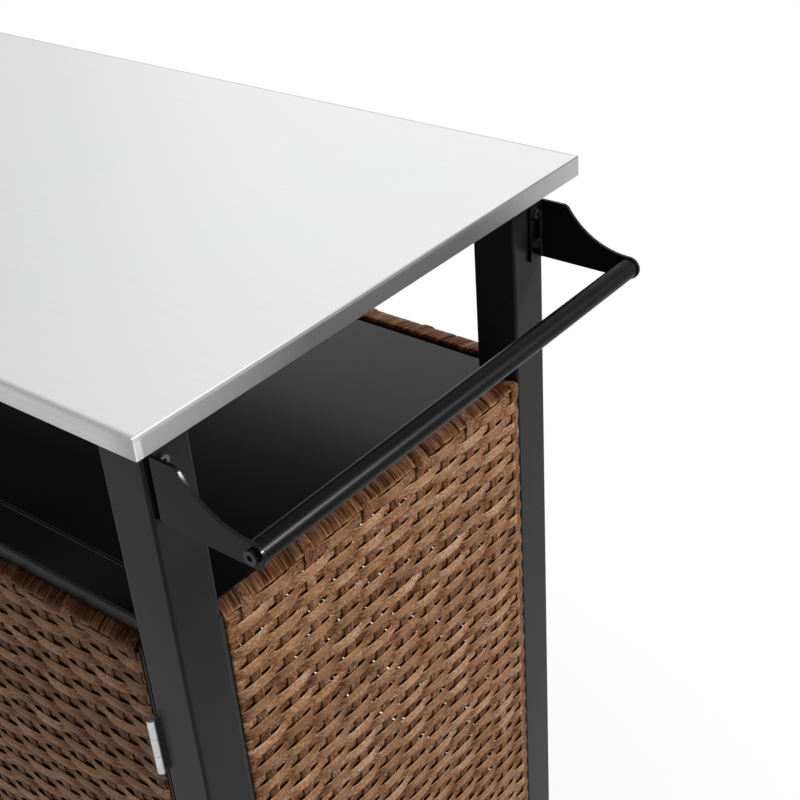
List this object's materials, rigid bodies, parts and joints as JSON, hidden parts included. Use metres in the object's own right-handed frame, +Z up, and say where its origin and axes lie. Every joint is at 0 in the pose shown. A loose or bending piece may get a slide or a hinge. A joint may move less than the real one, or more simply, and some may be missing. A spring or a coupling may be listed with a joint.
{
  "type": "outdoor kitchen cart",
  "caption": "Wheeled outdoor kitchen cart: stainless worktop over an open bay, a cabinet with woven panels and hinged doors, a push handle at one end and swivel casters.",
  "frame": {"origin": "on the floor, under the middle of the whole cart's plan, handle included", "axes": "+X towards the end with the handle, -Y towards the doors, +Z up"},
  "size_m": [1.1184, 0.47, 0.88],
  "materials": {
    "stainless_steel": "brushed along the length",
    "black_paint": "satin powder coat",
    "black_screws": "black zinc",
    "panel_frame": "dark powder coat",
    "woven_resin": "grained flat strip, mixed browns",
    "zinc_plate": "bright zinc",
    "black_plastic": "moulded",
    "brake_pedal": "black paint",
    "wheel_rubber": "smooth tread"
  },
  "bodies": {
    "cart": {"worktop": "stainless_steel", "upper_rail_front": "black_paint", "upper_rail_back": "black_paint", "upper_rail_left": "black_paint", "upper_rail_right": "black_paint", "leg_front_left": "black_paint", "leg_front_right": "black_paint", "leg_back_left": "black_paint", "leg_back_right": "black_paint", "deck_rail_front": "black_paint", "deck_rail_back": "black_paint", "base_rail_front": "black_paint", "base_rail_back": "black_paint", "deck": "black_paint", "bottom_shelf": "black_paint", "handle_bar": "black_paint", "handle_bracket_front": "black_paint", "handle_bracket_back": "black_paint", "handle_bar_screws": "black_screws", "bracket_screws": "black_screws", "tray_screws": "black_screws", "panel_screws": "black_screws", "end_panel_frame_left": "panel_frame", "end_panel_frame_right": "panel_frame", "back_panel_frame": "panel_frame", "end_panel_weave_left": "woven_resin", "end_panel_weave_right": "woven_resin", "back_panel_weave": "woven_resin", "worktop_nuts": "zinc_plate", "hinge_leg_leaves_left": "zinc_plate", "hinge_leg_leaves_right": "zinc_plate", "hinge_pins_left": "zinc_plate", "hinge_pins_right": "zinc_plate", "handle_bar_inserts": "zinc_plate", "caster_stems": "zinc_plate", "door_catch": "black_plastic"},
    "door_left": {"door_frame_left": "panel_frame", "door_weave_left": "woven_resin", "door_knob_left": "stainless_steel", "hinge_door_leaves_left": "zinc_plate", "door_strike_left": "zinc_plate"},
    "door_right": {"door_frame_right": "panel_frame", "door_weave_right": "woven_resin", "door_knob_right": "stainless_steel", "hinge_door_leaves_right": "zinc_plate", "door_strike_right": "zinc_plate"},
    "fork_front_left": {"caster_fork_front_left": "zinc_plate", "caster_axle_front_left": "zinc_plate"},
    "wheel_front_left": {"caster_wheel_front_left": "wheel_rubber"},
    "fork_front_right": {"caster_fork_front_right": "zinc_plate", "caster_axle_front_right": "zinc_plate"},
    "wheel_front_right": {"caster_wheel_front_right": "wheel_rubber"},
    "brake_front_right": {"caster_brake_front_right": "brake_pedal"},
    "fork_back_left": {"caster_fork_back_left": "zinc_plate", "caster_axle_back_left": "zinc_plate"},
    "wheel_back_left": {"caster_wheel_back_left": "wheel_rubber"},
    "fork_back_right": {"caster_fork_back_right": "zinc_plate", "caster_axle_back_right": "zinc_plate"},
    "wheel_back_right": {"caster_wheel_back_right": "wheel_rubber"},
    "brake_back_right": {"caster_brake_back_right": "brake_pedal"}
  },
  "joints": [
    {"name": "door_left_hinge", "type": "hinge", "parent": "cart", "child": "door_left", "pos_m": [-0.49475, -0.219, 0.41215], "axis": [0, 0, -1], "range_deg": [0, 175]},
    {"name": "door_right_hinge", "type": "hinge", "parent": "cart", "child": "door_right", "pos_m": [0.42625, -0.219, 0.41215], "axis": [0, 0, 1], "range_deg": [0, 175]},
    {"name": "swivel_front_left", "type": "hinge", "parent": "cart", "child": "fork_front_left", "pos_m": [-0.51675, -0.1955, 0.0873], "axis": [0, 0, 1], "continuous": true},
    {"name": "wheel_front_left_spin", "type": "hinge", "parent": "fork_front_left", "child": "wheel_front_left", "pos_m": [-0.48875, -0.1955, 0.0375], "axis": [0, 1, 0], "continuous": true},
    {"name": "swivel_front_right", "type": "hinge", "parent": "cart", "child": "fork_front_right", "pos_m": [0.44825, -0.1955, 0.0873], "axis": [0, 0, 1], "continuous": true},
    {"name": "wheel_front_right_spin", "type": "hinge", "parent": "fork_front_right", "child": "wheel_front_right", "pos_m": [0.47625, -0.1955, 0.0375], "axis": [0, 1, 0], "continuous": true},
    {"name": "brake_front_right_pivot", "type": "hinge", "parent": "fork_front_right", "child": "brake_front_right", "pos_m": [0.46625, -0.1955, 0.079], "axis": [0, 1, 0], "range_deg": [0, 11]},
    {"name": "swivel_back_left", "type": "hinge", "parent": "cart", "child": "fork_back_left", "pos_m": [-0.51675, 0.1955, 0.0873], "axis": [0, 0, 1], "continuous": true},
    {"name": "wheel_back_left_spin", "type": "hinge", "parent": "fork_back_left", "child": "wheel_back_left", "pos_m": [-0.48875, 0.1955, 0.0375], "axis": [0, 1, 0], "continuous": true},
    {"name": "swivel_back_right", "type": "hinge", "parent": "cart", "child": "fork_back_right", "pos_m": [0.44825, 0.1955, 0.0873], "axis": [0, 0, 1], "continuous": true},
    {"name": "wheel_back_right_spin", "type": "hinge", "parent": "fork_back_right", "child": "wheel_back_right", "pos_m": [0.47625, 0.1955, 0.0375], "axis": [0, 1, 0], "continuous": true},
    {"name": "brake_back_right_pivot", "type": "hinge", "parent": "fork_back_right", "child": "brake_back_right", "pos_m": [0.46625, 0.1955, 0.079], "axis": [0, 1, 0], "range_deg": [0, 11]}
  ]
}
